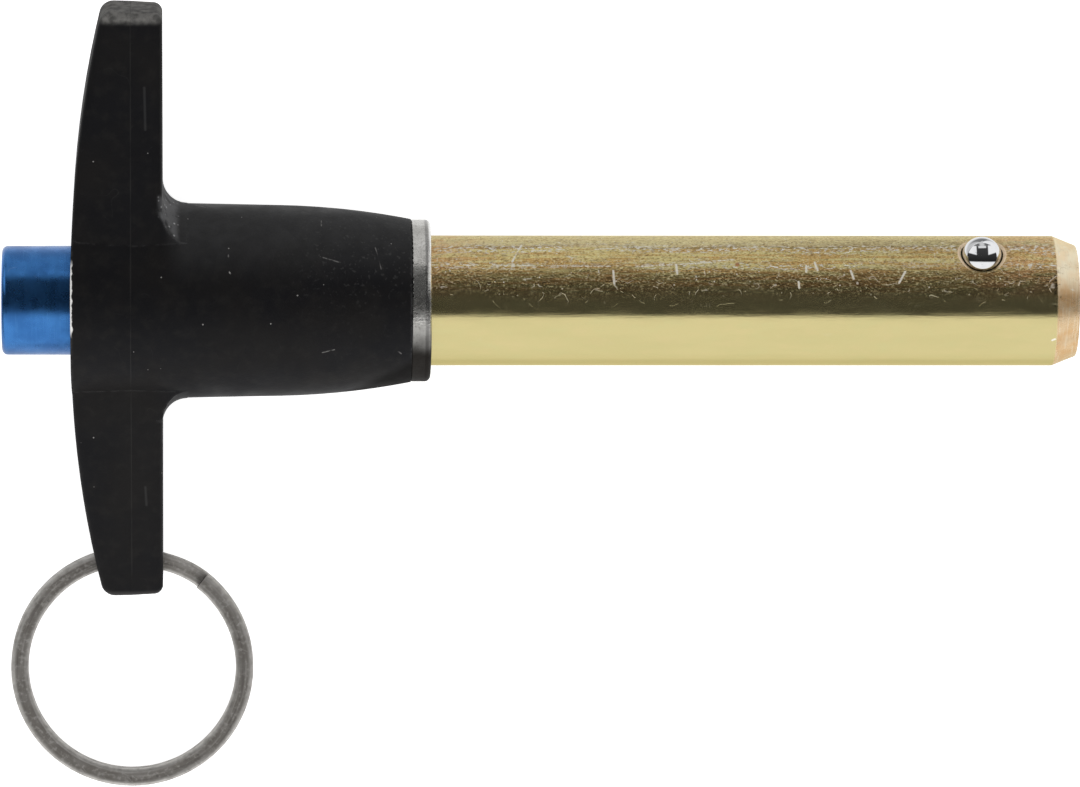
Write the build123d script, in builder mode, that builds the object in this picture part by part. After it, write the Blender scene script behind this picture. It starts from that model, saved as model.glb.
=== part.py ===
"""Ball lock pin with a T-handle: half-inch shank, two-inch grip, single-acting push button.

The pin's axis is X. The origin is on that axis at the shoulder, in the front face of the steel
collar, and +X points to the tip. The pin lies as it rests on a table: barrel and tip touch it,
the T-handle has rolled about X until its ring end touches it, and the split ring lies flat.
"""

import os
from math import asin, atan, atan2, cos, degrees, hypot, radians, sin, sqrt, tan

from build123d import *

os.makedirs("parts", exist_ok=True)

# ---- shank and its shoulder collar ----
shank_diameter = 12.7
shank_length = 63.1  # shoulder to tip
tip_chamfer_length = 2.3
tip_chamfer_depth = 0.93
tip_edge_break = 0.15
collar_diameter = 15.8
collar_length = 1.9
collar_front_round = 0.55
collar_back_round = 0.15
fixed_fit = 0.02  # radial gap of a part that is pressed on or moulded round

# ---- handle: a moulded barrel and T-bar in one piece ----
barrel_root_diameter = 19.06
barrel_waist_diameter = 18.62  # where the drafted part ends and the nose curve starts
barrel_nose_diameter = 15.92
barrel_length = 24.15  # collar to the T-bar's back face
barrel_curve_length = 12.7
bar_length = 59.35
bar_thickness = 8.85  # along the pin, at the middle
bar_end_thickness = 5.8
bar_end_slant = 0.25  # by which the T-bar is longer at its outer face
bar_land_width = 7.6  # flat part of the T-bar's outer face
bar_depth_middle = 14.5
bar_depth_end = 5.6
bar_draft = 3.0  # degrees, each way from the mould's parting plane
parting_from_back = 3.05
bar_outer_corner = 1.4
bar_back_corner = 0.9
bar_edge_round = 0.8
root_fillet = 2.4
button_bore_break = 0.25

# ---- lock: two balls at 180 degrees, pushed out by the spindle ----
ball_diameter = 3.969  # 5/32 in
ball_from_tip = 9.5
ball_turn = 26.7  # degrees, from the T-bar's long way to the balls' line
ball_reach = 1.485  # how far a locked ball stands out of the shank
ball_sink = 0.035  # how far a freed ball lies below the shank's surface
ball_fit = 0.012
ball_rim_break_width = 0.32  # on the shank's surface
ball_rim_break_depth = 0.2
button_travel = 5.0

# ---- spindle, return spring and release button ----
running_fit = 0.03
rod_diameter = 5.8
neck_length = 2.5
guide_length = 4.5
spindle_recess = 1.2  # spindle's head below the shank's tip
head_break = 0.4
shank_bore_break = 0.35
stud_diameter = 4.0
stud_length = 8.0
tail_length = 24.0  # shank inside collar and handle
tail_groove_depth = 0.45
tail_groove_width = 1.5
tail_groove_pitch = 4.0
tail_groove_count = 3
button_diameter = 10.6
button_fit = 0.08
button_proud = 6.75
button_round = 0.55
button_stop_gap = 0.1
spring_pocket_length = 12.0
spring_pocket_diameter = 9.2
spring_wire = 0.8
spring_diameter = 8.4
spring_coils = 6.5

# ---- split ring in the T-bar's lower end ----
ring_diameter = 23.85
ring_wire_width = 1.73
ring_wire_thickness = 0.78
ring_wire_round = 0.3
ring_coil_gap = 0.06
ring_hole_diameter = 3.2
ring_hole_from_end = 3.2
ring_hole_break = 0.2
ring_free_end = 51.5  # degrees round the ring from +X, where the front coil ends
ring_jog_start = 76.0  # degrees, where the front coil starts down to the back one
ring_jog_steps = 6

# ---- places worked out from the sizes above ----
shank_radius = shank_diameter / 2
barrel_radius = barrel_root_diameter / 2
bar_back = -collar_length - barrel_length
bar_outer = bar_back - bar_thickness
bar_parting = bar_back - parting_from_back
waist_x = -collar_length - barrel_curve_length
bar_half = bar_length / 2
chamfer_start = shank_length - tip_chamfer_length
ball_from_shoulder = shank_length - ball_from_tip


def bar_half_depth(along):
    """Half the T-bar's depth at a distance from the pin's axis."""
    return (bar_depth_middle + (bar_depth_end - bar_depth_middle) * along / bar_half) / 2


def angle_down(along, across, depth):
    """The turn in degrees that brings the corner (along, across) down to the given depth."""
    return degrees(asin(depth / hypot(along, across)) - atan2(across, along))


# The table under the resting pin touches the barrel's waist and the chamfer's edge.
table_slope = (barrel_waist_diameter / 2 - shank_radius) / (chamfer_start - waist_x)
bar_depth_to_table = barrel_waist_diameter / 2 + (waist_x - bar_parting) * table_slope
rest_roll = angle_down(
    bar_half - bar_edge_round,
    bar_half_depth(bar_half) - bar_edge_round,
    bar_depth_to_table - bar_edge_round,
)
bar_up = Vector(0, cos(radians(rest_roll)), sin(radians(rest_roll)))
bar_front = Vector(0, -sin(radians(rest_roll)), cos(radians(rest_roll)))
bar_plane = Plane(origin=(0, 0, 0), x_dir=(1, 0, 0), z_dir=bar_front)

# The ball sits on the top edge of the spindle's ramp, so that it sinks as fast as the ramp falls.
ball_radius = ball_diameter / 2
ball_out = shank_radius + ball_reach - ball_radius
ball_travel = ball_reach + ball_sink
ramp = atan(ball_travel / button_travel)
seat_radius = ball_radius + ball_fit
head_radius = ball_out - seat_radius * cos(ramp)
ramp_top = ball_from_shoulder + seat_radius * sin(ramp)
neck_radius = ball_out - ball_travel - ball_radius - running_fit
ramp_foot = ramp_top - (head_radius - neck_radius) / tan(ramp)
guide_front = ramp_foot - neck_length
guide_back = guide_front - guide_length
bore_radius = head_radius + running_fit
rod_radius = rod_diameter / 2
rod_bore_radius = rod_radius + running_fit
spindle_end = shank_length - spindle_recess
button_outer = bar_outer - button_proud
button_bore_radius = button_diameter / 2 + button_fit
button_inner = -tail_length - button_travel - button_stop_gap
spring_seat = -tail_length + spring_pocket_length
ball_angle = radians(rest_roll + ball_turn)

# The ring swings about X in its hole. Its far side lies on the table.
ring_outer = ring_diameter / 2
ring_mean = ring_outer - ring_wire_width / 2
ring_sagitta = ring_mean - sqrt(ring_mean**2 - (bar_end_thickness / 2) ** 2)
ring_reach = ring_mean - ring_sagitta / 2  # hole to ring centre
hole_along = bar_half - ring_hole_from_end
ring_pivot = bar_up * -hole_along + Vector(bar_parting, 0, 0)
coil_height = (ring_wire_thickness + ring_coil_gap) / 2
stack_half = ring_wire_thickness + ring_coil_gap / 2
pivot_above_table = bar_depth_to_table + ring_pivot.Z
ring_dip = angle_down(ring_reach + ring_outer, stack_half, pivot_above_table)
ring_up = Vector(0, cos(radians(ring_dip)), sin(radians(ring_dip)))
ring_front = Vector(0, -sin(radians(ring_dip)), cos(radians(ring_dip)))
ring_centre = ring_pivot - ring_up * ring_reach
ring_plane = Plane(origin=ring_centre, x_dir=(1, 0, 0), z_dir=ring_front)


def tail_groove_spans():
    """Start and end along X of each ring groove in the shank's moulded-in tail."""
    first = -tail_length + tail_groove_pitch / 2
    starts = [first + n * tail_groove_pitch for n in range(tail_groove_count)]
    return [(start, start + tail_groove_width) for start in starts]


def tail_outline(gap):
    """Half outline of the grooved tail, grown by a gap, as (x, r) points from the axis out."""
    points = [(-tail_length - gap, 0), (-tail_length - gap, shank_radius + gap)]
    for start, end in tail_groove_spans():
        floor = shank_radius - tail_groove_depth + gap
        points += [(start + gap, shank_radius + gap), (start + gap, floor)]
        points += [(end - gap, floor), (end - gap, shank_radius + gap)]
    return points


# ---- shank: turned steel tube with its tail moulded into the handle ----
with BuildPart() as shank:
    with BuildSketch(Plane.XY):
        with BuildLine():
            Polyline(
                *tail_outline(0),
                (chamfer_start, shank_radius),
                (shank_length, shank_radius - tip_chamfer_depth),
                (shank_length, 0),
                close=True,
            )
        make_face()
    revolve(axis=Axis.X)
    fillet(shank.edges().group_by(Axis.X)[-1], tip_edge_break)
    # stepped bore: spindle's head from the tip, its rod behind, the spring in the tail
    with BuildSketch(Plane.XY):
        with BuildLine():
            Polyline(
                (guide_back - running_fit, 0),
                (guide_back - running_fit, bore_radius),
                (shank_length - shank_bore_break, bore_radius),
                (shank_length, bore_radius + shank_bore_break),
                (shank_length + 1, bore_radius + shank_bore_break),
                (shank_length + 1, 0),
                close=True,
            )
        make_face()
        with BuildLine():
            Polyline(
                (-tail_length - 1, 0),
                (-tail_length - 1, spring_pocket_diameter / 2),
                (spring_seat, spring_pocket_diameter / 2),
                (spring_seat, rod_bore_radius),
                (guide_back, rod_bore_radius),
                (guide_back, 0),
                close=True,
            )
        make_face()
    revolve(axis=Axis.X, mode=Mode.SUBTRACT)

ball_directions = {
    "ball_a": Vector(0, cos(ball_angle), sin(ball_angle)),
    "ball_b": Vector(0, -cos(ball_angle), -sin(ball_angle)),
}

with BuildPart() as drilled_shank:
    add(shank.part)
    for outward in ball_directions.values():
        ball_plane = Plane(
            origin=(ball_from_shoulder, 0, 0), x_dir=(1, 0, 0), z_dir=outward
        )
        # straight hole up to the ball, then the rounded lip that keeps the ball in
        with BuildSketch(ball_plane):
            Circle(seat_radius)
        extrude(amount=ball_out, mode=Mode.SUBTRACT)
        with Locations(ball_plane.offset(ball_out)):
            Sphere(seat_radius, mode=Mode.SUBTRACT)
        rim = drilled_shank.edges().sort_by_distance(
            ball_plane.origin + outward * (shank_radius + ball_reach)
        )
        outside = drilled_shank.faces().sort_by(SortBy.AREA)[-1]
        chamfer(rim[0], ball_rim_break_width, ball_rim_break_depth, reference=outside)
drilled_shank.part.label = "shank"

# ---- shoulder collar: turned steel ring pressed on the shank against the handle ----
with BuildPart() as shoulder_collar:
    with BuildSketch(Plane.YZ.offset(-collar_length)):
        Circle(collar_diameter / 2)
        Circle(shank_radius + fixed_fit, mode=Mode.SUBTRACT)
    extrude(amount=collar_length)
    outer_rims = shoulder_collar.edges().filter_by(GeomType.CIRCLE).group_by(SortBy.RADIUS)[-1]
    fillet(outer_rims.sort_by(Axis.X)[-1], collar_front_round)
    outer_rims = shoulder_collar.edges().filter_by(GeomType.CIRCLE).group_by(SortBy.RADIUS)[-1]
    fillet(outer_rims.sort_by(Axis.X)[0], collar_back_round)
shoulder_collar.part.label = "shoulder_collar"

# ---- T-bar: its outline, limited to the drafted depth of the mould ----
with BuildPart() as bar_depth_limit:
    reach = bar_half + root_fillet + 2
    for way in (1, -1):
        face_plane = Plane(
            origin=(bar_parting, 0, 0), x_dir=bar_up, z_dir=(way, 0, 0)
        )
        with BuildSketch(face_plane):
            with BuildLine():
                Polyline(
                    (-reach, -bar_half_depth(reach)),
                    (0, -bar_half_depth(0)),
                    (reach, -bar_half_depth(reach)),
                    (reach, bar_half_depth(reach)),
                    (0, bar_half_depth(0)),
                    (-reach, bar_half_depth(reach)),
                    close=True,
                )
            make_face()
        extrude(amount=bar_thickness + root_fillet, taper=bar_draft)

land_end = (bar_outer, bar_land_width / 2)
outer_end = (bar_back - bar_end_thickness, bar_half)

with BuildPart() as bar_outer_limit:
    with BuildSketch(bar_plane):
        with BuildLine():
            Polyline((0, bar_half), (0, 0), (bar_outer, 0), land_end)
            TangentArc(land_end, outer_end, tangent=(0, 1))
            Line(outer_end, (0, bar_half))
        make_face()
        mirror(about=Plane.XZ)
    extrude(amount=barrel_radius, both=True)

with BuildPart() as t_bar:
    # a quarter, mirrored at the end to its front and to the other wing
    with BuildSketch(bar_plane):
        with BuildLine():
            Polyline((bar_back, 0), (bar_outer, 0), land_end)
            TangentArc(land_end, outer_end, tangent=(0, 1))
            back_end = (bar_back, bar_half - bar_end_slant)
            Polyline(outer_end, back_end, (bar_back, 0))
        make_face()
        fillet(vertices().sort_by_distance(outer_end)[0], bar_outer_corner)
        fillet(vertices().sort_by_distance(back_end)[0], bar_back_corner)
    extrude(amount=bar_depth_middle)
    add(bar_depth_limit.part, mode=Mode.INTERSECT)
    long_edges = t_bar.edges().filter_by(
        lambda e: (e @ 0.5).dot(bar_front) > bar_depth_end / 4
        and (e @ 0.5).dot(bar_up) > bar_edge_round
        and not (abs((e @ 0).X - bar_parting) < 0.01 and abs((e @ 1).X - bar_parting) < 0.01)
    )
    fillet(long_edges, bar_edge_round)
    mirror(about=Plane(origin=(0, 0, 0), z_dir=bar_front))
    mirror(about=Plane(origin=(0, 0, 0), z_dir=bar_up))

# ---- handle: barrel turned through the T-bar, root fillet, bores and ring hole ----
with BuildPart() as root_flare:
    with BuildSketch(Plane.XY):
        with BuildLine():
            corner = (bar_back, barrel_radius + root_fillet)
            foot = (bar_back + root_fillet, barrel_radius)
            TangentArc(foot, corner, tangent=(-1, 0))
            Polyline(
                corner, (bar_parting, barrel_radius + root_fillet), (bar_parting, 0), (foot[0], 0), foot
            )
        make_face()
    revolve(axis=Axis.X)
    add(bar_depth_limit.part, mode=Mode.INTERSECT)

with BuildPart() as handle:
    with BuildSketch(Plane.XY):
        with BuildLine():
            waist = (waist_x, barrel_waist_diameter / 2)
            nose = (-collar_length, barrel_nose_diameter / 2)
            root = (bar_back, barrel_radius)
            slope = (waist[0] - root[0], waist[1] - root[1])
            Polyline((-collar_length, 0), (bar_outer, 0), (bar_outer, barrel_radius), root, waist)
            TangentArc(waist, nose, tangent=slope)
            Line(nose, (-collar_length, 0))
        make_face()
    revolve(axis=Axis.X)
    add(bar_outer_limit.part, mode=Mode.INTERSECT)
    add(t_bar.part)
    add(root_flare.part)
    # pocket moulded round the shank's tail, with the ribs that fill its grooves
    with BuildSketch(Plane.XY):
        with BuildLine():
            Polyline(
                *tail_outline(fixed_fit), (1, shank_radius + fixed_fit), (1, 0), close=True
            )
        make_face()
    revolve(axis=Axis.X, mode=Mode.SUBTRACT)
    # bore for the release button, down to the end of the shank
    with BuildSketch(Plane.YZ.offset(bar_outer)):
        Circle(button_bore_radius)
    extrude(amount=-tail_length - bar_outer, mode=Mode.SUBTRACT)
    mouth = handle.edges().filter_by(
        lambda e: (e @ 0.5).X < bar_outer + button_bore_break
        and max(abs(hypot((e @ t).Y, (e @ t).Z) - button_bore_radius) for t in (0, 0.5, 1)) < 0.001
    )
    chamfer(mouth, button_bore_break)
    # hole for the split ring, along the pin through the T-bar's lower end
    with BuildSketch(Plane.YZ.offset(bar_outer)):
        with Locations((ring_pivot.Y, ring_pivot.Z)):
            Circle(ring_hole_diameter / 2)
    extrude(amount=bar_thickness, mode=Mode.SUBTRACT)
    hole_rims = handle.edges().filter_by(
        lambda e: hypot(e.center(CenterOf.MASS).Y - ring_pivot.Y, e.center(CenterOf.MASS).Z - ring_pivot.Z)
        < ring_hole_diameter / 2 - ring_hole_break
    )
    chamfer(hole_rims, ring_hole_break)
handle.part.label = "handle"

# ---- spindle: ground steel rod whose ramp lets the balls sink ----
with BuildPart() as spindle:
    with BuildSketch(Plane.XY):
        with BuildLine():
            Polyline(
                (button_inner - stud_length, 0),
                (button_inner - stud_length, stud_diameter / 2),
                (button_inner, stud_diameter / 2),
                (button_inner, rod_radius),
                (guide_back, rod_radius),
                (guide_back, head_radius),
                (guide_front, head_radius),
                (guide_front, neck_radius),
                (ramp_foot, neck_radius),
                (ramp_top, head_radius),
                (spindle_end - head_break, head_radius),
                (spindle_end, head_radius - head_break),
                (spindle_end, 0),
                close=True,
            )
        make_face()
    revolve(axis=Axis.X)
spindle.part.label = "spindle"

# ---- release button: anodised cap screwed on the spindle's stud ----
with BuildPart() as release_button:
    with BuildSketch(Plane.YZ.offset(button_outer)):
        Circle(button_diameter / 2)
    extrude(amount=button_inner - button_outer)
    fillet(release_button.edges().group_by(Axis.X)[0], button_round)
    with BuildSketch(Plane.YZ.offset(button_inner)):
        Circle(stud_diameter / 2 + fixed_fit)
    extrude(amount=-stud_length - fixed_fit, mode=Mode.SUBTRACT)
release_button.part.label = "release_button"

# ---- return spring: round wire between the button and the pocket in the shank's tail ----
spring_length = spring_seat - button_inner - 2 * fixed_fit
with BuildPart() as return_spring:
    with BuildLine():
        coil = Helix(
            pitch=(spring_length - spring_wire) / spring_coils,
            height=spring_length - spring_wire,
            radius=(spring_diameter - spring_wire) / 2,
            center=(button_inner + fixed_fit + spring_wire / 2, 0, 0),
            direction=(1, 0, 0),
        )
    with BuildSketch(Plane(origin=coil @ 0, z_dir=coil % 0)):
        Circle(spring_wire / 2)
    sweep(is_frenet=True)
return_spring.part.label = "return_spring"

# ---- locking balls: chromed steel, on opposite sides of the spindle ----
balls = {}
for ball_name, outward in ball_directions.items():
    with BuildPart(Plane(origin=(ball_from_shoulder, 0, 0), z_dir=outward)) as ball:
        with Locations((0, 0, ball_out)):
            Sphere(ball_radius)
    ball.part.label = ball_name
    balls[ball_name] = ball.part


def wire_section(turned, height):
    """Plane across the ring's wire at an angle round the ring and a height off its mid-plane."""
    outward = ring_plane.x_dir * cos(radians(turned)) + ring_plane.y_dir * sin(radians(turned))
    along = ring_plane.y_dir * cos(radians(turned)) - ring_plane.x_dir * sin(radians(turned))
    origin = ring_plane.origin + outward * ring_mean + ring_plane.z_dir * height
    return Plane(origin=origin, x_dir=outward, z_dir=along)


def jog_height(step):
    """Height of the wire where it crosses from the front coil to the back one."""
    return coil_height * cos(radians(180 * step / ring_jog_steps))


# ---- split ring: two turns of flat wire with a jog from the front coil to the back one ----
ring_axis = Axis(ring_plane.origin, ring_plane.z_dir)
ring_jog_angle = ring_jog_start - ring_free_end
with BuildPart() as split_ring:
    for first, height in ((ring_free_end, coil_height), (ring_free_end, -coil_height)):
        with BuildSketch(wire_section(first, height)):
            RectangleRounded(ring_wire_width, ring_wire_thickness, ring_wire_round)
        revolve(axis=ring_axis, revolution_arc=-(360 - ring_jog_angle))
    for step in range(ring_jog_steps + 1):
        turned = ring_jog_start - ring_jog_angle * step / ring_jog_steps
        with BuildSketch(wire_section(turned, jog_height(step))):
            RectangleRounded(ring_wire_width, ring_wire_thickness, ring_wire_round)
    loft()
split_ring.part.label = "split_ring"

pieces = [
    handle.part,
    shoulder_collar.part,
    drilled_shank.part,
    spindle.part,
    release_button.part,
    return_spring.part,
    split_ring.part,
    *balls.values(),
]
for piece in pieces:
    export_step(piece, f"parts/{piece.label}.step")
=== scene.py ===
"""Ball lock pin with a T-handle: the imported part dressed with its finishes, on a pale table.

The pin's axis is X with the shoulder at the origin. The sections follow the pin as it is put
together, from the moulded handle to the split ring, and then come the table, light and camera.
"""
from math import cos, pi, radians, sin

import bpy
from mathutils import Matrix, Vector


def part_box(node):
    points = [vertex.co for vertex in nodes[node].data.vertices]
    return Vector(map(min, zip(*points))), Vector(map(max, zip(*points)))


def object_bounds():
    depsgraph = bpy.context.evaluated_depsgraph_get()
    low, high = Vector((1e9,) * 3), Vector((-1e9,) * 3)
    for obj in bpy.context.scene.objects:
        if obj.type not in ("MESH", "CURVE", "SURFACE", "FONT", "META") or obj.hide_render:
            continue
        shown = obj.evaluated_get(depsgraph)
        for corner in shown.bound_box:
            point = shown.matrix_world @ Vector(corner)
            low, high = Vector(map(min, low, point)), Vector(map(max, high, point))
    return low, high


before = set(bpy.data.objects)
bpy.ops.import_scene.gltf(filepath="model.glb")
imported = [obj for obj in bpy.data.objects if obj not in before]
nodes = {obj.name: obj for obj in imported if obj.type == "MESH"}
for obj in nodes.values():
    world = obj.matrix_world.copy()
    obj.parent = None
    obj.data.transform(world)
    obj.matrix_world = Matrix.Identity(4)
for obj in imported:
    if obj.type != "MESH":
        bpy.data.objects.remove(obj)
cad_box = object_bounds()

# ---- handle ----
# Barrel and T-bar are one moulding of black nylon, closed round the shank's tail. The mould has
# left a fine sparked grain and a thin flash line where its halves met. Use has scuffed the ends,
# worn the edges pale and peppered the nose with white nicks.


def place(tree, kind, settings=None, **sockets):
    """Adds a node. Each named input takes a value, or a link if it is given an output."""
    made = tree.nodes.new(kind)
    for name, value in (settings or {}).items():
        setattr(made, name, value)
    for name, value in sockets.items():
        feed(tree, made.inputs[name.replace("_", " ")], value)
    return made


def feed(tree, socket, value):
    """Links an output to an input, or writes a plain value into it."""
    if isinstance(value, bpy.types.NodeSocket):
        tree.links.new(value, socket)
    else:
        socket.default_value = value


def calc(tree, operation, *values):
    """One step of arithmetic; the result is clamped for DIVIDE_CLAMPED and ADD_CLAMPED."""
    made = tree.nodes.new("ShaderNodeMath")
    made.use_clamp = operation.endswith("_CLAMPED")
    made.operation = operation.removesuffix("_CLAMPED")
    for socket, value in zip(made.inputs, values):
        feed(tree, socket, value)
    return made.outputs["Value"]


def chain(tree, operation, values):
    """The same step of arithmetic along a row of values."""
    result = values[0]
    for other in values[1:]:
        result = calc(tree, operation, result, other)
    return result


def both(tree, *masks):
    """Where all the masks hold at once; a plain number weakens the rest."""
    return chain(tree, "MULTIPLY", masks)


def either(tree, *masks):
    """Where any of the masks holds."""
    return chain(tree, "MAXIMUM", masks)


def total(tree, *values):
    """The sum of the values."""
    return chain(tree, "ADD", values)


def less(tree, value, taken):
    """What is left of a value once another is taken off it."""
    return calc(tree, "SUBTRACT", value, taken)


def away(tree, value, middle):
    """How far a value lies from the middle one, to either side."""
    return calc(tree, "ABSOLUTE", less(tree, value, middle))


def arrow(tree, operation, *values):
    """One step of vector arithmetic; DOT_PRODUCT and LENGTH give a number."""
    made = tree.nodes.new("ShaderNodeVectorMath")
    made.operation = operation
    for socket, value in zip(made.inputs, values):
        feed(tree, socket, value)
    return made.outputs["Value" if operation in ("DOT_PRODUCT", "LENGTH") else "Vector"]


def axes(tree, vector):
    """The X, Y and Z of a vector."""
    return place(tree, "ShaderNodeSeparateXYZ", Vector=vector).outputs


def off_axis(tree, where):
    """The distance from the pin's axis."""
    return arrow(tree, "LENGTH", arrow(tree, "MULTIPLY", where, (0, 1, 1)))


def ramp(tree, value, start, end, low=0.0, high=1.0):
    """Eases from low to high while the value goes from start to end."""
    made = place(tree, "ShaderNodeMapRange", {"interpolation_type": "SMOOTHSTEP"})
    names = ("Value", "From Min", "From Max", "To Min", "To Max")
    for name, number in zip(names, (value, start, end, low, high)):
        feed(tree, made.inputs[name], number)
    return made.outputs["Result"]


def within(tree, value, start, end, soft):
    """A band: 1 from start to end, eased to 0 over the soft width outside it."""
    rise = ramp(tree, value, start - soft, start)
    return both(tree, rise, ramp(tree, value, end, end + soft, 1, 0))


def tint(tree, share, under, over):
    """Lays one colour over another by a mask."""
    made = tree.nodes.new("ShaderNodeMix")
    made.data_type = "RGBA"
    for socket, value in zip((made.inputs[0], made.inputs[6], made.inputs[7]), (share, under, over)):
        feed(tree, socket, (*value, 1) if isinstance(value, tuple) else value)
    return made.outputs[2]


def coat(tree, under, mask, share, over):
    """Lays a share of a colour over another where the mask is set."""
    return tint(tree, both(tree, mask, share), under, over)


def cloud(tree, where, scale, detail=2.0, stretch=(1, 1, 1)):
    """Smooth noise from 0 to 1 with its features about 1 / scale metres across."""
    moved = arrow(tree, "MULTIPLY", where, stretch) if stretch != (1, 1, 1) else where
    return place(tree, "ShaderNodeTexNoise", Vector=moved, Scale=scale, Detail=detail).outputs["Fac"]


def patches(tree, where, scale, low=0.35, high=0.65, detail=3.0):
    """The cloud cut into patches: 0 below the low level, 1 above the high one."""
    return ramp(tree, cloud(tree, where, scale, detail), low, high)


def start_group(name, numbers, vectors):
    """An empty effect with its named inputs, which puts out one mask."""
    group = bpy.data.node_groups.new(name, "ShaderNodeTree")
    for socket_name in vectors:
        group.interface.new_socket(socket_name, in_out="INPUT", socket_type="NodeSocketVector")
    for socket_name, value in numbers.items():
        socket = group.interface.new_socket(socket_name, in_out="INPUT", socket_type="NodeSocketFloat")
        socket.default_value = value
    group.interface.new_socket("Mask", in_out="OUTPUT", socket_type="NodeSocketFloat")
    entry = group.nodes.new("NodeGroupInput").outputs
    mask = group.nodes.new("NodeGroupOutput").inputs["Mask"]
    return group, entry, mask


def use(tree, group, **sockets):
    """Places an effect in a material and gives its mask."""
    return place(tree, "ShaderNodeGroup", {"node_tree": group}, **sockets).outputs["Mask"]


# pits, nicks and specks: small round spots, each in a random place
specks, entry, mask = start_group("specks", {"Scale": 500.0, "Size": 0.2, "Share": 0.3}, ["Vector"])
full_spot = 0.6  # the part of its size over which a spot is whole
cell = place(specks, "ShaderNodeTexVoronoi", Vector=entry["Vector"], Scale=entry["Scale"])
core = both(specks, entry["Size"], full_spot)
spot = ramp(specks, cell.outputs["Distance"], core, entry["Size"], 1, 0)
pick = place(specks, "ShaderNodeSeparateColor", Color=cell.outputs["Color"]).outputs["Red"]
feed(specks, mask, both(specks, spot, calc(specks, "LESS_THAN", pick, entry["Share"])))

# hair scratches: thin bent lines, broken into short lengths
hairlines, entry, mask = start_group("hairlines", {"Scale": 300.0, "Width": 0.02, "Share": 0.4}, ["Vector"])
break_scale = 2.3  # the breaks come this much closer together than the lines
break_shift = (0.31, 0.17, 0.05)
break_soft = 0.08
line = cloud(hairlines, entry["Vector"], entry["Scale"], 1.0)
line = ramp(hairlines, away(hairlines, line, 0.5), 0, entry["Width"], 1, 0)
breaks = arrow(hairlines, "ADD", entry["Vector"], break_shift)
breaks = cloud(hairlines, breaks, both(hairlines, entry["Scale"], break_scale), 0.0)
kept = less(hairlines, 1.0, entry["Share"])
breaks = ramp(hairlines, breaks, kept, total(hairlines, kept, break_soft))
feed(hairlines, mask, both(hairlines, line, breaks))

# a single nick or scratch, straight from one point of the surface to another
scratch, entry, mask = start_group("scratch", {"Width": 0.0001}, ["Vector", "From", "To"])
whole_width, faded_width = 0.25, 0.75  # a line is whole to the first share of its width, gone by the other
from_start = arrow(scratch, "SUBTRACT", entry["Vector"], entry["From"])
run = arrow(scratch, "SUBTRACT", entry["To"], entry["From"])
ahead = arrow(scratch, "DOT_PRODUCT", from_start, run)
ahead = calc(scratch, "DIVIDE_CLAMPED", ahead, arrow(scratch, "DOT_PRODUCT", run, run))
nearest = place(scratch, "ShaderNodeVectorMath", {"operation": "SCALE"}, Vector=run, Scale=ahead)
apart = arrow(scratch, "LENGTH", arrow(scratch, "SUBTRACT", from_start, nearest.outputs["Vector"]))
widths = [both(scratch, entry["Width"], share) for share in (whole_width, faded_width)]
feed(scratch, mask, ramp(scratch, apart, *widths, 1, 0))

# worn edges: where the surface turns within a short reach, broken up by noise
edge_wear, entry, mask = start_group("edge_wear", {"Reach": 0.0003, "Breakup": 900.0}, ["Vector"])
rounded = place(edge_wear, "ShaderNodeBevel", {"samples": 6}, Radius=entry["Reach"]).outputs["Normal"]
plain = edge_wear.nodes.new("ShaderNodeNewGeometry").outputs["Normal"]
turned = less(edge_wear, 1.0, arrow(edge_wear, "DOT_PRODUCT", rounded, plain))
uneven = patches(edge_wear, entry["Vector"], entry["Breakup"], 0.35, 0.6)
feed(edge_wear, mask, both(edge_wear, ramp(edge_wear, turned, 0.01, 0.12), uneven))


def start_finish(node_name, finish_name):
    """Gives a node its material and hands back the node tree, its shader and the place in metres."""
    made = bpy.data.materials.new(finish_name)
    made.use_nodes = True
    tree = made.node_tree
    nodes[node_name].data.materials.clear()
    nodes[node_name].data.materials.append(made)
    where = place(tree, "ShaderNodeTexCoord").outputs["Object"]
    return tree, tree.nodes["Principled BSDF"], where


def finish(tree, shader, color, roughness, metallic, height, depth):
    """Feeds the shader: colour, roughness and metal by mask, and a bump of the given depth."""
    feed(tree, shader.inputs["Base Color"], color)
    feed(tree, shader.inputs["Roughness"], roughness)
    feed(tree, shader.inputs["Metallic"], metallic)
    bump = place(tree, "ShaderNodeBump", Height=height, Distance=depth, Strength=1.0)
    feed(tree, shader.inputs["Normal"], bump.outputs["Normal"])


def scratches(tree, where, runs, width):
    """Joins single scratches, each given by its two ends, into one mask."""
    mask = 0.0
    for start, end in runs:
        one = use(tree, scratch, Vector=where, From=start, To=end, Width=width)
        mask = calc(tree, "ADD_CLAMPED", mask, one)
    return mask


barrel_radius = 0.00953
bar_face_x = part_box("handle")[0].x
parting_x = -0.0291  # the T-bar's middle, where the halves of the mould met
bar_roll = radians(14.3)  # the T-bar leans over until its lower end rests on the table
bar_up = (0, cos(bar_roll), sin(bar_roll))

cool_black = (0.0070, 0.0070, 0.0082)
warm_black = (0.0100, 0.0092, 0.0090)
brown_black = (0.016, 0.015, 0.014)
nose_shade_black = (0.0030, 0.0026, 0.0022)
barrel_dust = (0.036, 0.036, 0.037)
upper_end_dust = (0.19, 0.185, 0.175)
lower_end_dust = (0.075, 0.072, 0.070)
flash_grey = (0.040, 0.039, 0.038)
hair_grey = (0.06, 0.06, 0.06)
pepper_grey = (0.10, 0.10, 0.098)
edge_grey = (0.10, 0.10, 0.10)
flare_highlight_grey = (0.115, 0.115, 0.118)
scuff_grey = (0.13, 0.13, 0.13)
nick_white = (0.32, 0.31, 0.30)
flare_highlight_speck = (0.45, 0.45, 0.46)
rim_highlight_white = (0.85, 0.84, 0.82)

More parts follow.
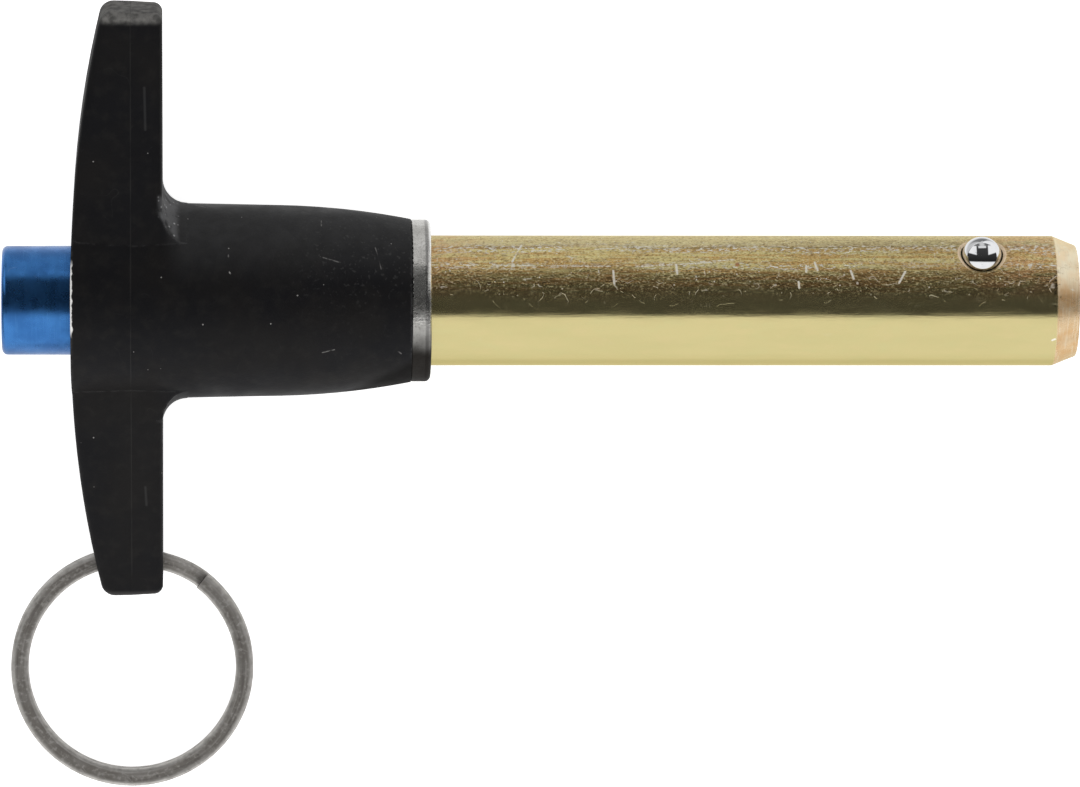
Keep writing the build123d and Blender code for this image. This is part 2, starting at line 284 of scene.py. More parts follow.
tree, shader, where = start_finish("handle", "black_nylon")
along, across, height = axes(tree, where)
up_bar = arrow(tree, "DOT_PRODUCT", where, bar_up)
nylon = tint(tree, patches(tree, where, 140, 0.35, 0.7, 4), cool_black, warm_black)
nylon = coat(tree, nylon, patches(tree, where, 900, 0.45, 0.75), 0.4, brown_black)
on_barrel = ramp(tree, along, -0.0262, -0.0236)
dusty = both(tree, ramp(tree, across, 0.0012, 0.0078), on_barrel)
dusty = both(tree, dusty, ramp(tree, cloud(tree, where, 700, 4), 0.3, 0.7, 0.7, 1))
nylon = coat(tree, nylon, dusty, 0.95, barrel_dust)
end_dust = ramp(tree, cloud(tree, where, 1400, 4), 0.3, 0.7, 0.35, 1)
end_dust = both(tree, ramp(tree, up_bar, 0.0283, 0.0291), end_dust)
nylon = tint(tree, end_dust, nylon, upper_end_dust)
nylon = coat(tree, nylon, ramp(tree, up_bar, -0.0288, -0.0293), 0.4, lower_end_dust)
flash_line = ramp(tree, away(tree, along, parting_x), 0.00003, 0.00008, 1, 0)
flash_share = ramp(tree, cloud(tree, where, 260, 2), 0.3, 0.6, 0.08, 0.3)
nylon = coat(tree, nylon, flash_line, flash_share, flash_grey)
hair = use(tree, hairlines, Vector=where, Scale=230.0, Width=0.0028, Share=0.40)
nylon = coat(tree, nylon, hair, 0.14, hair_grey)

# a painted highlight: the flare is painted pale where light falls on it, with paler painted specks in it
flare_slope = 1.33  # the flare runs up from the barrel to the T-bar at this slope
flare = total(tree, across, both(tree, along, flare_slope))
flare = both(
    tree, within(tree, along, -0.0259, -0.0250, 0.0008), ramp(tree, across, 0.0108, 0.0100),
    ramp(tree, flare, -0.0270, -0.0262), patches(tree, where, 800, 0.30, 0.55, 4),
    ramp(tree, height, 0.001, 0.003),
)
nylon = coat(tree, nylon, flare, 0.9, flare_highlight_grey)
flare_highlight_specks = both(tree, flare, use(tree, specks, Vector=where, Scale=2600.0, Size=0.36, Share=0.3))
nylon = coat(tree, nylon, flare_highlight_specks, 0.9, flare_highlight_speck)

# nicks all over the nose and a few longer knocks, and two scuffs on the T-bar's back
nose = both(tree, ramp(tree, along, -0.017, -0.008), ramp(tree, across, -0.002, 0.005, 0.12, 1))
peppered = both(tree, patches(tree, where, 3000, 0.60, 0.70, 2), nose)
nylon = coat(tree, nylon, peppered, 0.26, pepper_grey)
nicks = use(tree, specks, Vector=where, Scale=760.0, Size=0.075, Share=0.20)
scuff_width, knock_width = 0.00026, 0.00012
scuff_runs = [
    ((-0.02776, 0.02085, 0.00921), (-0.02767, 0.01681, 0.00877)),
    ((-0.02775, -0.01820, -0.00005), (-0.02765, -0.02001, -0.00080)),
]
knock_runs = [
    ((-0.00547, 0.00539, 0.00666), (-0.00491, 0.00330, 0.00781)),
    ((-0.01080, 0.00456, 0.00792), (-0.00887, 0.00399, 0.00804)),
    ((-0.01066, 0.00792, 0.00453), (-0.01067, 0.00746, 0.00526)),
    ((-0.02296, 0.00937, 0.00141), (-0.02170, 0.00911, 0.00250)),
    ((-0.01060, -0.00472, 0.00781), (-0.00944, -0.00443, 0.00787)),
    ((-0.00324, -0.00467, 0.00674), (-0.00294, -0.00488, 0.00653)),
    ((-0.01967, 0.00475, 0.00812), (-0.01967, 0.00457, 0.00823)),
    ((-0.01958, 0.00314, 0.00886), (-0.01948, 0.00295, 0.00893)),
]
scuffs = scratches(tree, where, scuff_runs, scuff_width)
knocks = scratches(tree, where, knock_runs, knock_width)
knocks = both(tree, knocks, patches(tree, where, 3200, 0.30, 0.55))
nylon = coat(tree, nylon, scuffs, 0.12, scuff_grey)
nylon = coat(tree, nylon, nicks, 0.7, nick_white)
nylon = coat(tree, nylon, knocks, 0.36, nick_white)
worn = use(tree, edge_wear, Vector=where, Reach=0.0005, Breakup=1300.0)
nylon = coat(tree, nylon, worn, 0.35, edge_grey)

# a painted highlight: a thin white line along the barrel's outer rim, on its upper side only
rim_waver = both(tree, cloud(tree, where, 1900, 4), 0.00040)
rim_depth = total(tree, less(tree, along, bar_face_x), rim_waver)
rim_highlight = both(
    tree, ramp(tree, rim_depth, 0.00040, 0.00030), within(tree, across, -0.0024, 0.0034, 0.0010),
    ramp(tree, height, 0.004, 0.006),
    ramp(tree, off_axis(tree, where), barrel_radius - 0.00042, barrel_radius - 0.00028),
)
nylon = coat(tree, nylon, rim_highlight, 0.97, rim_highlight_white)

# painted shade: the nose's low side is painted darker, less and less of it away from the collar
nose_shade_slope = 0.55
nose_shade = less(tree, across, both(tree, along, nose_shade_slope))
nose_shade = both(tree, ramp(tree, nose_shade, -0.0040, -0.0052), ramp(tree, along, -0.020, -0.013))
nylon = coat(tree, nylon, nose_shade, 0.9, nose_shade_black)

sheen = ramp(tree, cloud(tree, where, 330, 3), 0.3, 0.7, 0.44, 0.56)
sheen = total(tree, sheen, both(tree, either(tree, end_dust, nose_shade), 0.2))
grain = both(tree, cloud(tree, where, 5200, 3), 0.35)
relief = total(tree, grain, both(tree, cloud(tree, where, 1100, 2), 0.6), both(tree, flash_line, 0.6))
relief = less(tree, relief, both(tree, either(tree, nicks, knocks), 0.6))
finish(tree, shader, nylon, sheen, 0.0, relief, 0.00004)
shader.inputs["Specular IOR Level"].default_value = 0.11

# ---- shoulder collar ----
# A turned ring of plain steel, pressed on the shank against the handle. Its lathe marks run
# round it, its low side is painted dark as shade, and its front rim has a painted highlight with a painted
# dark band behind it.
steel_grey, steel_pale = (0.62, 0.61, 0.58), (0.76, 0.75, 0.72)
lathe_grey, steel_pits, rim_shade_grey = (0.46, 0.455, 0.43), (0.30, 0.29, 0.27), (0.20, 0.195, 0.19)
rubbed_steel, rim_highlight_steel = (0.90, 0.90, 0.88), (0.98, 0.98, 0.97)
low_side_shade_black = (0.0080, 0.0062, 0.0050)

tree, shader, where = start_finish("shoulder_collar", "turned_steel")
along, across = axes(tree, where)[:2]
lathe = cloud(tree, where, 1.0, 3, (9000, 300, 300))
steel = tint(tree, patches(tree, where, 700, 0.35, 0.65, 4), steel_grey, steel_pale)
steel = coat(tree, steel, ramp(tree, lathe, 0.55, 0.7), 0.35, lathe_grey)
steel = coat(tree, steel, patches(tree, where, 3600, 0.52, 0.68), 0.4, steel_pits)
rubbed = use(tree, edge_wear, Vector=where, Reach=0.00030, Breakup=1500.0)
rubbed = both(tree, rubbed, ramp(tree, across, -0.001, 0.001))
steel = coat(tree, steel, rubbed, 0.5, rubbed_steel)
# painted shade: a dark band just behind the front rim
steel = coat(tree, steel, within(tree, along, -0.00055, -0.00035, 0.00012), 0.6, rim_shade_grey)
# painted highlight: a bright line along the front rim
front_rim_highlight = both(tree, ramp(tree, along, -0.00026, -0.00014), ramp(tree, across, -0.003, 0.001))
front_rim_highlight = both(tree, front_rim_highlight, patches(tree, where, 1500, 0.3, 0.45))
steel = coat(tree, steel, front_rim_highlight, 0.95, rim_highlight_steel)
# painted shade: the low side is painted nearly black, with a wavering edge
low_side_shade = total(tree, across, both(tree, cloud(tree, where, 500, 3), 0.0012))
low_side_shade = ramp(tree, low_side_shade, -0.0002, -0.0047)
steel = coat(tree, steel, low_side_shade, 0.98, low_side_shade_black)

dull = ramp(tree, cloud(tree, where, 1200, 3), 0.3, 0.7, 0.20, 0.30)
dull = total(tree, dull, both(tree, low_side_shade, 0.2))
metal = both(tree, less(tree, 1.0, ramp(tree, low_side_shade, 0.35, 0.88)), 0.95)
relief = total(tree, both(tree, lathe, 0.3), cloud(tree, where, 4200, 2))
finish(tree, shader, steel, dull, metal, relief, 0.000025)
shader.inputs["Specular IOR Level"].default_value = 0.02

# ---- shank ----
# Turned alloy steel, plated with zinc and passivated yellow. The passivation shows as shifting
# straw, amber and green. The side that has rubbed in its socket carries fine scratches, and two rows of
# painted glints run along it.
shank_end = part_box("shank")[1]
chamfer_x = shank_end.x - 0.0023
ball_x = shank_end.x - 0.0095
ball_turn = radians(41.02)
ball_way = (0, cos(ball_turn), sin(ball_turn))

# the plating is straw in two tones, with amber and green drifting over it
plain_straw, deep_straw = (0.680, 0.592, 0.290), (0.655, 0.575, 0.278)
amber, green = (0.78, 0.60, 0.33), (0.60, 0.62, 0.31)
# the rubbed side goes from reddish brown and olive to pale straw at the top
red_brown, olive = (0.50, 0.29, 0.11), (0.50, 0.40, 0.17)
orange_straw, pale_straw, top_straw = (0.70, 0.44, 0.15), (0.84, 0.72, 0.32), (0.74, 0.66, 0.40)
end_copper = (0.78, 0.42, 0.20)
dark_brown, grit_brown, shade_brown = (0.20, 0.12, 0.05), (0.24, 0.14, 0.05), (0.30, 0.20, 0.10)
grit_yellow, bare_and_glint_white, rust = (0.95, 0.86, 0.52), (0.98, 0.95, 0.86), (0.36, 0.13, 0.04)

tree, shader, where = start_finish("shank", "yellow_zinc")
along, across = axes(tree, where)[:2]
drift = cloud(tree, where, 1.0, 3, (90, 420, 420))
streaks = cloud(tree, where, 1.0, 4, (150, 3000, 3000))
blotch = cloud(tree, where, 1.0, 4, (420, 900, 900))
waver = both(tree, less(tree, drift, 0.5), 0.0016)
level = total(tree, across, waver)
rubbed_side = ramp(tree, level, -0.0002, 0.0024)

zinc = tint(tree, ramp(tree, drift, 0.35, 0.65), plain_straw, deep_straw)
zinc = coat(tree, zinc, ramp(tree, blotch, 0.5, 0.7), 0.12, amber)
zinc = coat(tree, zinc, ramp(tree, blotch, 0.5, 0.3), 0.12, green)
bronze = tint(tree, ramp(tree, streaks, 0.40, 0.60), red_brown, olive)
straw = tint(tree, ramp(tree, streaks, 0.40, 0.60), orange_straw, pale_straw)
worn_zinc = tint(tree, ramp(tree, level, 0.0026, 0.0036), bronze, straw)
worn_zinc = coat(tree, worn_zinc, ramp(tree, across, 0.0052, 0.0056), 0.75, top_straw)
zinc = coat(tree, zinc, rubbed_side, 0.92, worn_zinc)
dark_line = within(tree, level, 0.00535, 0.00545, 0.00008)
dark_line = both(tree, dark_line, ramp(tree, drift, 0.40, 0.55, 0.3, 1))
zinc = coat(tree, zinc, dark_line, 0.6, dark_brown)
ends = either(tree, ramp(tree, along, 0.007, 0.000), ramp(tree, along, 0.048, 0.058))
ends = both(tree, ends, rubbed_side, ramp(tree, blotch, 0.35, 0.60))
zinc = coat(tree, zinc, ends, 0.6, end_copper)

# fine grit and scratches, bright where they go through the yellow, and two rows of painted glints
grit = cloud(tree, where, 1.0, 2, (4200, 6000, 6000))
coarse = cloud(tree, where, 1.0, 2, (1500, 2600, 2600))
bright_grit = both(tree, ramp(tree, grit, 0.54, 0.66), rubbed_side)
dark_grit = both(tree, ramp(tree, grit, 0.46, 0.34), rubbed_side)
shade = both(tree, ramp(tree, coarse, 0.50, 0.36), rubbed_side)
zinc = coat(tree, zinc, dark_grit, 0.6, grit_brown)
zinc = coat(tree, zinc, shade, 0.35, shade_brown)
zinc = coat(tree, zinc, bright_grit, 0.6, grit_yellow)

curls = use(tree, hairlines, Vector=where, Scale=480.0, Width=0.0075, Share=0.46)
curls = both(tree, curls, ramp(tree, level, -0.0008, 0.0016, 0.02, 0.75))
drawn_out = arrow(tree, "MULTIPLY", where, (0.35, 1, 1))
long_lines = use(tree, hairlines, Vector=drawn_out, Scale=900.0, Width=0.016, Share=0.36)
long_lines = both(tree, long_lines, ramp(tree, rubbed_side, 0, 1, 0.04, 0.8))
dots = use(tree, specks, Vector=where, Scale=2300.0, Size=0.20, Share=0.14)
dots = both(tree, dots, rubbed_side)
# two rows of painted glints along the upper side, painted white with the scratches
high_row = within(tree, level, 0.0050, 0.0054, 0.0003)
low_row = within(tree, level, 0.0034, 0.0037, 0.0003)
sparks = ramp(tree, cloud(tree, where, 1.0, 2, (2300, 6500, 6500)), 0.53, 0.60)
glints = both(tree, total(tree, high_row, low_row), sparks, ramp(tree, drift, 0.35, 0.5, 0.3, 1))

# dents and drag marks stand where they were struck, and one spot has rusted
dent_width, drag_width, rust_width = 0.00020, 0.00014, 0.00042
dents = [
    ((0.03639, 0.00362, 0.00522), (0.03637, 0.00305, 0.00557)),
    ((0.03723, 0.00390, 0.00501), (0.03749, 0.00319, 0.00549)),
    ((0.04070, 0.00314, 0.00552), (0.04097, 0.00238, 0.00589)),
    ((0.03561, 0.00209, 0.00600), (0.03565, 0.00152, 0.00617)),
    ((0.02376, 0.00370, 0.00516), (0.02383, 0.00285, 0.00567)),
    ((0.01762, 0.00313, 0.00552), (0.01770, 0.00189, 0.00606)),
    ((0.00878, 0.00547, 0.00323), (0.00785, 0.00398, 0.00495)),
    ((0.06040, -0.00362, 0.00521), (0.06066, -0.00352, 0.00528)),
    ((0.04600, 0.00305, 0.00557), (0.04538, 0.00200, 0.00603)),
]
drags = [
    ((0.01977, 0.00351, 0.00529), (0.02756, 0.00394, 0.00498)),
    ((0.00590, 0.00364, 0.00520), (0.01735, 0.00356, 0.00526)),
    ((0.01596, 0.00515, 0.00372), (0.02328, 0.00552, 0.00314)),
    ((0.02610, 0.00399, 0.00494), (0.02952, 0.00418, 0.00478)),
]
rust_spots = [((0.02967, 0.00373, 0.00514), (0.02970, 0.00371, 0.00516))]
dented = scratches(tree, where, dents, dent_width)
dragged = both(tree, scratches(tree, where, drags, drag_width), ramp(tree, grit, 0.35, 0.6))
bare_and_glints = either(tree, curls, long_lines, dots, glints, dented, dragged)
zinc = coat(tree, zinc, bare_and_glints, 0.9, bare_and_glint_white)
rusted = scratches(tree, where, rust_spots, rust_width)
zinc = coat(tree, zinc, rusted, 0.9, rust)

# the tip's chamfer: the plating is thin and pinkish over the turned face, with grime at its rim
low_pink, low_pink_pale = (0.72, 0.46, 0.23), (0.76, 0.56, 0.34)
high_pink, high_pink_pale = (1.00, 0.82, 0.56), (1.00, 0.89, 0.66)
tool_pale, scratch_pale = (0.95, 0.84, 0.66), (0.96, 0.93, 0.85)
grime_black, rim_straw = (0.03, 0.022, 0.015), (0.84, 0.74, 0.52)
on_chamfer = ramp(tree, along, chamfer_x - 0.00008, chamfer_x + 0.00012)
tool_marks = cloud(tree, where, 1.0, 3, (7000, 500, 500))
pink_patches = patches(tree, where, 800)
pink_low = tint(tree, pink_patches, low_pink, low_pink_pale)
pink_high = tint(tree, pink_patches, high_pink, high_pink_pale)
pink = tint(tree, ramp(tree, across, 0.0010, 0.0030), pink_low, pink_high)
pink = coat(tree, pink, ramp(tree, tool_marks, 0.5, 0.65), 0.3, tool_pale)
tip_hair = use(tree, hairlines, Vector=where, Scale=700.0, Width=0.012, Share=0.3)
pink = coat(tree, pink, tip_hair, 0.6, scratch_pale)
zinc = tint(tree, on_chamfer, zinc, pink)
at_rim = within(tree, along, chamfer_x - 0.0001, chamfer_x + 0.0001, 0.0004)
grime = both(tree, at_rim, within(tree, across, 0.0003, 0.0022, 0.0012), ramp(tree, coarse, 0.46, 0.54))
zinc = coat(tree, zinc, grime, 0.9, grime_black)
rim_wear = use(tree, edge_wear, Vector=where, Reach=0.00018, Breakup=1600.0)
zinc = coat(tree, zinc, rim_wear, 0.6, rim_straw)

# round each ball the lip is staked: painted shade darkens the gap, and a burnt orange painted highlight
# lies on the turned-in edge
lip_highlight_orange, gap_shade_black = (1.00, 0.78, 0.55), (0.010, 0.008, 0.006)
hole_line = arrow(tree, "CROSS_PRODUCT", arrow(tree, "SUBTRACT", where, (ball_x, 0, 0)), ball_way)
from_hole = arrow(tree, "LENGTH", hole_line)
lip_highlight = within(tree, from_hole, 0.00211, 0.00236, 0.00006)
lip_highlight = both(tree, lip_highlight, ramp(tree, away(tree, along, ball_x), 0.0011, 0.0018, 0.15, 1))
zinc = coat(tree, zinc, lip_highlight, ramp(tree, blotch, 0.35, 0.60, 0.65, 0.95), lip_highlight_orange)
gap_shade = ramp(tree, from_hole, 0.00210, 0.00204)
zinc = coat(tree, zinc, gap_shade, 0.97, gap_shade_black)

smooth = ramp(tree, cloud(tree, where, 1.0, 3, (300, 1500, 1500)), 0.3, 0.7, 0.13, 0.20)
smooth = total(tree, smooth, both(tree, rubbed_side, 0.13), both(tree, bare_and_glints, 0.2))
smooth = total(tree, smooth, both(tree, either(tree, on_chamfer, gap_shade), 0.12))
turned_dull = both(tree, on_chamfer, ramp(tree, across, 0.0026, 0.0044, 0.36, 0.12))
dulled = either(
    tree, both(tree, bare_and_glints, 0.45), both(tree, bright_grit, 0.25), turned_dull,
    both(tree, rusted, 0.8), both(tree, lip_highlight, 0.6),
)
metal = less(tree, ramp(tree, level, 0.0026, 0.0044, 0.94, 0.76), dulled)
relief = both(
    tree, total(tree, grit, both(tree, coarse, 0.8)),
    ramp(tree, rubbed_side, 0.10, 0.9, 0.03, 1.0), ramp(tree, on_chamfer, 0, 1, 1, 0.08),
)
relief = total(tree, relief, both(tree, cloud(tree, where, 1.0, 3, (260, 4200, 4200)), 0.10))
relief = less(tree, relief, both(tree, bare_and_glints, 0.4))
relief = total(tree, relief, both(tree, tool_marks, on_chamfer, 0.5))
finish(tree, shader, zinc, smooth, metal, relief, 0.00006)
shader.inputs["Specular Tint"].default_value = (0.98, 0.90, 0.60, 1)

# ---- spindle ----
# Ground steel rod that slides inside the shank and holds the balls out. Only its end shows,
# sunk in the tip, with a fine turned face and a film of oil.
ground_dark, ground_pale, oil_brown = (0.42, 0.41, 0.40), (0.56, 0.55, 0.53), (0.30, 0.26, 0.20)
rings_per_metre = 5500.0  # out from the axis, over the end face
rings_along = 0.7  # the share of that number along the rod

tree, shader, where = start_finish("spindle", "ground_steel")
rings = total(tree, off_axis(tree, where), both(tree, axes(tree, where)["X"], rings_along))
rings = calc(tree, "FRACT", both(tree, rings, rings_per_metre))
rings = ramp(tree, away(tree, rings, 0.5), 0.1, 0.5)
ground = tint(tree, patches(tree, where, 600), ground_dark, ground_pale)
ground = tint(tree, patches(tree, where, 260, 0.55, 0.75), ground, oil_brown)
oily = ramp(tree, cloud(tree, where, 420, 2), 0.35, 0.65, 0.16, 0.34)
finish(tree, shader, ground, oily, 1.0, rings, 0.000005)

# ---- return spring ----
# Seven coils of hard-drawn spring wire behind the button. The wire keeps the thin lengthwise
# lines of the drawing die and a faint straw colour from its tempering.
wire_grey, wire_straw, wire_pit = (0.44, 0.42, 0.38), (0.56, 0.51, 0.42), (0.20, 0.17, 0.14)

tree, shader, where = start_finish("return_spring", "spring_wire")
wire = tint(tree, patches(tree, where, 450), wire_grey, wire_straw)
wire = tint(tree, use(tree, specks, Vector=where, Scale=1700.0, Size=0.3, Share=0.1), wire, wire_pit)
die_lines = cloud(tree, where, 1.0, 3, (5200, 700, 700))
finish(tree, shader, wire, ramp(tree, die_lines, 0.3, 0.7, 0.25, 0.42), 1.0, die_lines, 0.000006)

# ---- release button ----
# Aluminium cap, turned and anodised bright blue, screwed on the spindle. The turning leaves fine
# rings under the dye, and the rim and a few knocks are rubbed through to pale metal.
deep_blue, bright_blue, ring_blue = (0.044, 0.172, 0.470), (0.058, 0.220, 0.570), (0.085, 0.27, 0.62)
rubbed_blue, rim_blue = (0.30, 0.45, 0.70), (0.34, 0.46, 0.62)

tree, shader, where = start_finish("release_button", "blue_anodised")
turning = cloud(tree, where, 1.0, 3, (8200, 260, 260))
blue = tint(tree, patches(tree, where, 500, 0.35, 0.65, 4), deep_blue, bright_blue)
blue = coat(tree, blue, ramp(tree, turning, 0.52, 0.7), 0.30, ring_blue)
rubs = use(tree, hairlines, Vector=where, Scale=420.0, Width=0.008, Share=0.35)
blue = coat(tree, blue, rubs, 0.4, rubbed_blue)
worn = use(tree, edge_wear, Vector=where, Reach=0.00035, Breakup=1100.0)
blue = coat(tree, blue, worn, 0.30, rim_blue)
satin = ramp(tree, cloud(tree, where, 900, 3), 0.3, 0.7, 0.24, 0.34)
relief = less(tree, turning, both(tree, rubs, 0.3))
finish(tree, shader, blue, satin, 0.95, relief, 0.000010)

# ---- locking balls ----
# Two bearing balls of chrome steel, lapped to a mirror. Sliding over the ramp and against the
# socket has left a faint polish band and a few hair scratches on them.
chrome_bright, chrome_grey, chrome_hair = (0.83, 0.835, 0.85), (0.76, 0.77, 0.79), (0.62, 0.62, 0.63)

for ball_name in ("ball_a", "ball_b"):
    tree, shader, where = start_finish(ball_name, ball_name + "_chrome")
    chrome = tint(tree, patches(tree, where, 900, 0.4, 0.7), chrome_bright, chrome_grey)
    fine = use(tree, hairlines, Vector=where, Scale=520.0, Width=0.006, Share=0.35)
    chrome = coat(tree, chrome, fine, 0.3, chrome_hair)
    lapped = ramp(tree, cloud(tree, where, 700, 2), 0.3, 0.7, 0.035, 0.06)
    lapped = total(tree, lapped, both(tree, fine, 0.15))
    finish(tree, shader, chrome, lapped, 1.0, less(tree, 0.0, fine), 0.000003)

# ---- split ring ----
# Two turns of rolled stainless wire, sprung open and wound through the T-bar. The flats are dull
# from tumbling and grey-brown in the low spots, and a painted highlight makes the rounded edges paler.
ring_low, ring_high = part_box("split_ring")
ring_centre = (ring_low + ring_high) / 2
wire_middle = (ring_high.x - ring_low.x) / 2 - 0.00087  # from the ring's centre to the wire's middle
low_spot, high_spot, worn_spot = (0.180, 0.166, 0.150), (0.225, 0.212, 0.196), (0.44, 0.425, 0.40)
rolled_pale, rolled_dark = (0.40, 0.385, 0.365), (0.105, 0.096, 0.088)
pit_dark, edge_highlight_pale, rub_pale = (0.10, 0.092, 0.082), (0.70, 0.68, 0.65), (0.60, 0.585, 0.56)

tree, shader, where = start_finish("split_ring", "tumbled_stainless")
ring_out = arrow(tree, "LENGTH", arrow(tree, "SUBTRACT", where, tuple(ring_centre)))
matt = tint(tree, patches(tree, where, 650, 0.35, 0.65, 4), low_spot, high_spot)
matt = coat(tree, matt, patches(tree, where, 2600, 0.5, 0.7), 0.5, worn_spot)
round_ring = both(tree, arrow(tree, "DOT_PRODUCT", where, (1, 1, 0)), 0.04)
rolled = place(tree, "ShaderNodeCombineXYZ", X=ring_out, Y=round_ring)
rolled = cloud(tree, rolled.outputs["Vector"], 3400, 3)
matt = coat(tree, matt, ramp(tree, rolled, 0.50, 0.66), 0.5, rolled_pale)
matt = coat(tree, matt, ramp(tree, rolled, 0.46, 0.34), 0.5, rolled_dark)
pits = use(tree, specks, Vector=where, Scale=1500.0, Size=0.28, Share=0.14)
matt = coat(tree, matt, pits, 0.5, pit_dark)
# painted highlight: paler towards both edges of the wire
edge_highlight = ramp(tree, away(tree, ring_out, wire_middle), 0.00030, 0.00085)
edge_highlight = both(tree, edge_highlight, ramp(tree, cloud(tree, where, 1200, 3), 0.3, 0.6, 0.5, 1))
matt = coat(tree, matt, edge_highlight, 0.72, edge_highlight_pale)
rubs = use(tree, hairlines, Vector=where, Scale=420.0, Width=0.010, Share=0.40)
matt = coat(tree, matt, rubs, 0.22, rub_pale)
dull = ramp(tree, cloud(tree, where, 900, 3), 0.3, 0.7, 0.38, 0.52)
relief = less(tree, cloud(tree, where, 2400, 3), both(tree, pits, 0.5))
finish(tree, shader, matt, dull, 0.55, relief, 0.00002)

# ---- table ----
# A plain pale laminate top under the pin, level at the lowest point that the pin rests on. It takes
# the pin's shadow. To glossy rays it is black and glows with a painted reflection, bright beside the pin
# and darker past the pin's ends.
table_half = 1.5
rest_z = cad_box[0].z
table_mesh = bpy.data.meshes.new("table")
corners = [(x * table_half, y * table_half, rest_z) for x, y in ((-1, -1), (1, -1), (1, 1), (-1, 1))]
table_mesh.from_pydata(corners, [], [(0, 1, 2, 3)])
table = bpy.data.objects.new("table", table_mesh)
bpy.context.scene.collection.objects.link(table)
white = bpy.data.materials.new("white_laminate")
white.use_nodes = True
tree = white.node_tree
shader = tree.nodes["Principled BSDF"]
shader.inputs["Roughness"].default_value = 1
shader.inputs["Specular IOR Level"].default_value = 0
path = place(tree, "ShaderNodeLightPath").outputs
where = place(tree, "ShaderNodeTexCoord").outputs["Object"]
along, across = axes(tree, where)[:2]
# the painted reflection that glossy rays see, with a painted dark patch on the +Y side toward the tip
seen = ramp(tree, across, 0.012, 0.024, 0.95, 0.60)
shaded = both(tree, ramp(tree, across, 0.016, 0.028), ramp(tree, along, 0.030, 0.046), 0.38)
seen = less(tree, seen, shaded)
seen = total(tree, seen, ramp(tree, across, 0.05, 0.20, 0, 0.20))
seen = total(tree, seen, ramp(tree, across, -0.03, -0.06, 0, 0.05))
seen = less(tree, seen, both(tree, within(tree, across, -0.018, -0.004, 0.010), 0.16))
past_ends = away(tree, along, 0.012)
past_ends = less(tree, past_ends, both(tree, calc(tree, "ABSOLUTE", across), 0.5))
seen = both(tree, seen, ramp(tree, past_ends, 0.068, 0.085, 1, 0.35))
past_tip = both(tree, ramp(tree, along, 0.060, 0.068), ramp(tree, across, 0.004, 0.012), 0.97)
seen = either(tree, seen, past_tip)
laminate = tint(tree, path["Is Glossy Ray"], (0.9, 0.9, 0.9), (0, 0, 0))
feed(tree, shader.inputs["Base Color"], laminate)
shader.inputs["Emission Color"].default_value = (1, 1, 1, 1)
to_camera = both(tree, path["Is Camera Ray"], 0.75)
glow = total(tree, to_camera, both(tree, path["Is Glossy Ray"], seen))
feed(tree, shader.inputs["Emission Strength"], glow)
table_mesh.materials.append(white)

# ---- light ----
# Two soft panels light the pin, from -Y and from overhead. The room is white to the camera. What
# polished metal shows of it is a dark ceiling, a pale wall on the -Y side, and two windows with a
# light strip between them on the +Y side.
room_level = 0.5  # the light that the room itself gives
world = bpy.data.worlds.new("studio")
bpy.context.scene.world = world
world.use_nodes = True
world.cycles.sampling_method = "NONE"
tree = world.node_tree
path = place(tree, "ShaderNodeLightPath").outputs
aim_at = place(tree, "ShaderNodeTexCoord").outputs["Generated"]
# each direction goes by the lean, along X and Y, of a flat mirror that throws it straight up
mirror = arrow(tree, "NORMALIZE", arrow(tree, "ADD", aim_at, (0, 0, 1)))
lean_x, lean_y = axes(tree, mirror)[:2]
beside = calc(tree, "ABSOLUTE", lean_x)
ceiling = ramp(tree, lean_y, -0.35, 0.40, 0.012, 0.050)
pale_wall = ramp(tree, lean_y, -0.185, -0.250)
far_wall = both(tree, ramp(tree, lean_y, 0.44, 0.60), ramp(tree, beside, 0.06, 0.18, 0.66, 0.18))
strip = both(tree, within(tree, lean_y, 0.47, 0.55, 0.03), ramp(tree, beside, 0.22, 0.17, 0, 0.80))
pane_foot = less(tree, lean_y, both(tree, beside, 0.25))
window = both(
    tree, within(tree, beside, 0.31, 0.76, 0.05), ramp(tree, lean_y, 0.60, 0.54),
    ramp(tree, pane_foot, 0.02, 0.08), 0.97,
)
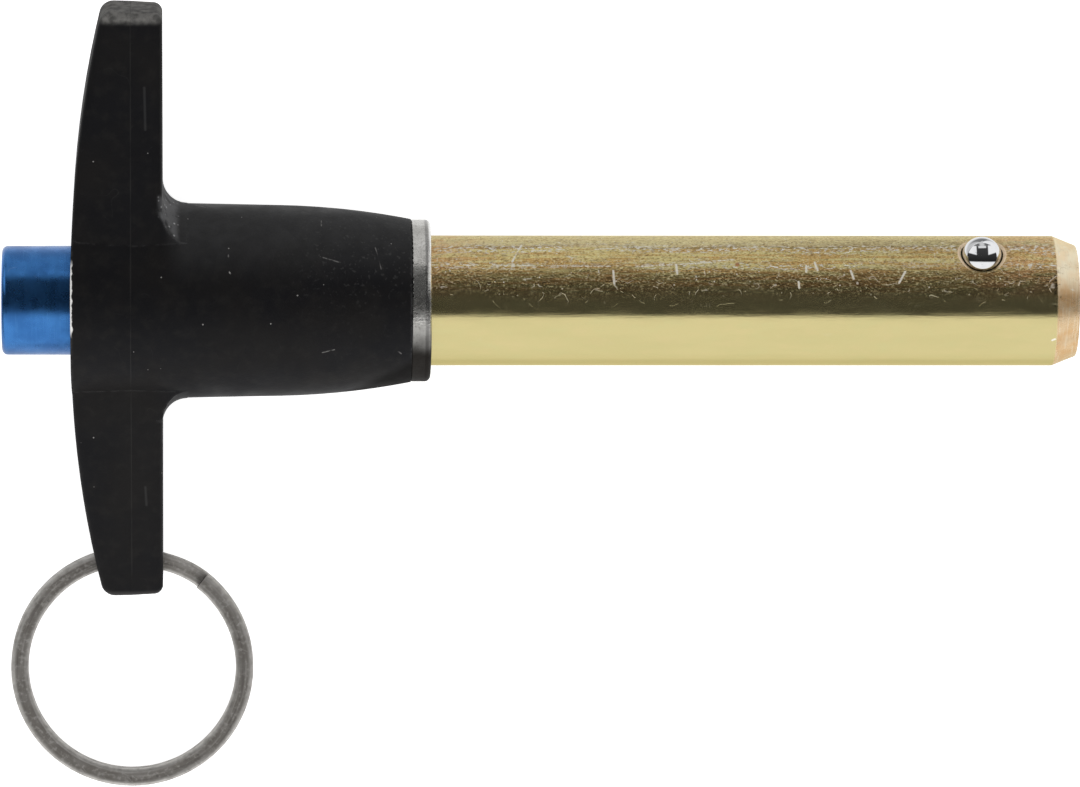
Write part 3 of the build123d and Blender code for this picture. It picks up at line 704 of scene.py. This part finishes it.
blind = both(tree, within(tree, beside, 0.38, 0.62, 0.05), ramp(tree, lean_y, 0.60, 0.68), 0.85)
seen = either(tree, ceiling, pale_wall, far_wall, strip, window, blind)
strength = both(tree, path["Is Glossy Ray"], less(tree, seen, room_level))
strength = total(tree, strength, room_level)
strength = either(tree, strength, path["Is Camera Ray"])
feed(tree, tree.nodes["Background"].inputs["Strength"], strength)
feed(tree, tree.nodes["Background"].inputs["Color"], (1, 1, 1, 1))


def softbox(name, direction, distance, size, radiance):
    """A rectangular panel that faces the pin from a direction, its first size along X."""
    light = bpy.data.lights.new(name, "AREA")
    light.shape = "RECTANGLE"
    light.size, light.size_y = size
    light.energy = radiance * pi * size[0] * size[1]
    made = bpy.data.objects.new(name, light)
    made.location = Vector(direction).normalized() * distance
    made.rotation_mode = "QUATERNION"
    made.rotation_quaternion = (-Vector(direction)).to_track_quat("-Z", "Y")
    made.visible_glossy = False
    made.visible_camera = False
    bpy.context.scene.collection.objects.link(made)


side_lean = radians(58)  # the side panel leans this far from straight overhead
softbox("side_panel", (0, -sin(side_lean), cos(side_lean)), distance=0.6, size=(1.6, 0.74), radiance=1.0)
softbox("overhead_panel", (0, 0.2, 1), distance=1.2, size=(0.8, 0.8), radiance=1.2)

# ---- camera ----
# A long lens nearly square above the pin, a little to its handle end and to its far side, and held
# level with the pin's axis.
camera_distance = 0.80
aim = Vector((0.01076, -0.00909, 0))
back_from = Vector((-0.040, 0.054, 0.998)).normalized()
right = (Vector((1, 0, 0)) - back_from * back_from.x).normalized()
up = back_from.cross(right)
camera = bpy.data.objects.new("camera", bpy.data.cameras.new("camera"))
bpy.context.scene.collection.objects.link(camera)
bpy.context.scene.camera = camera
camera.data.sensor_width = 36
camera.data.lens = 273
camera.data.clip_start, camera.data.clip_end = 0.05, 20
camera.location = aim + back_from * camera_distance
camera.rotation_mode = "QUATERNION"
camera.rotation_quaternion = Matrix((right, up, back_from)).transposed().to_quaternion()
bpy.context.scene.view_settings.view_transform = "Standard"
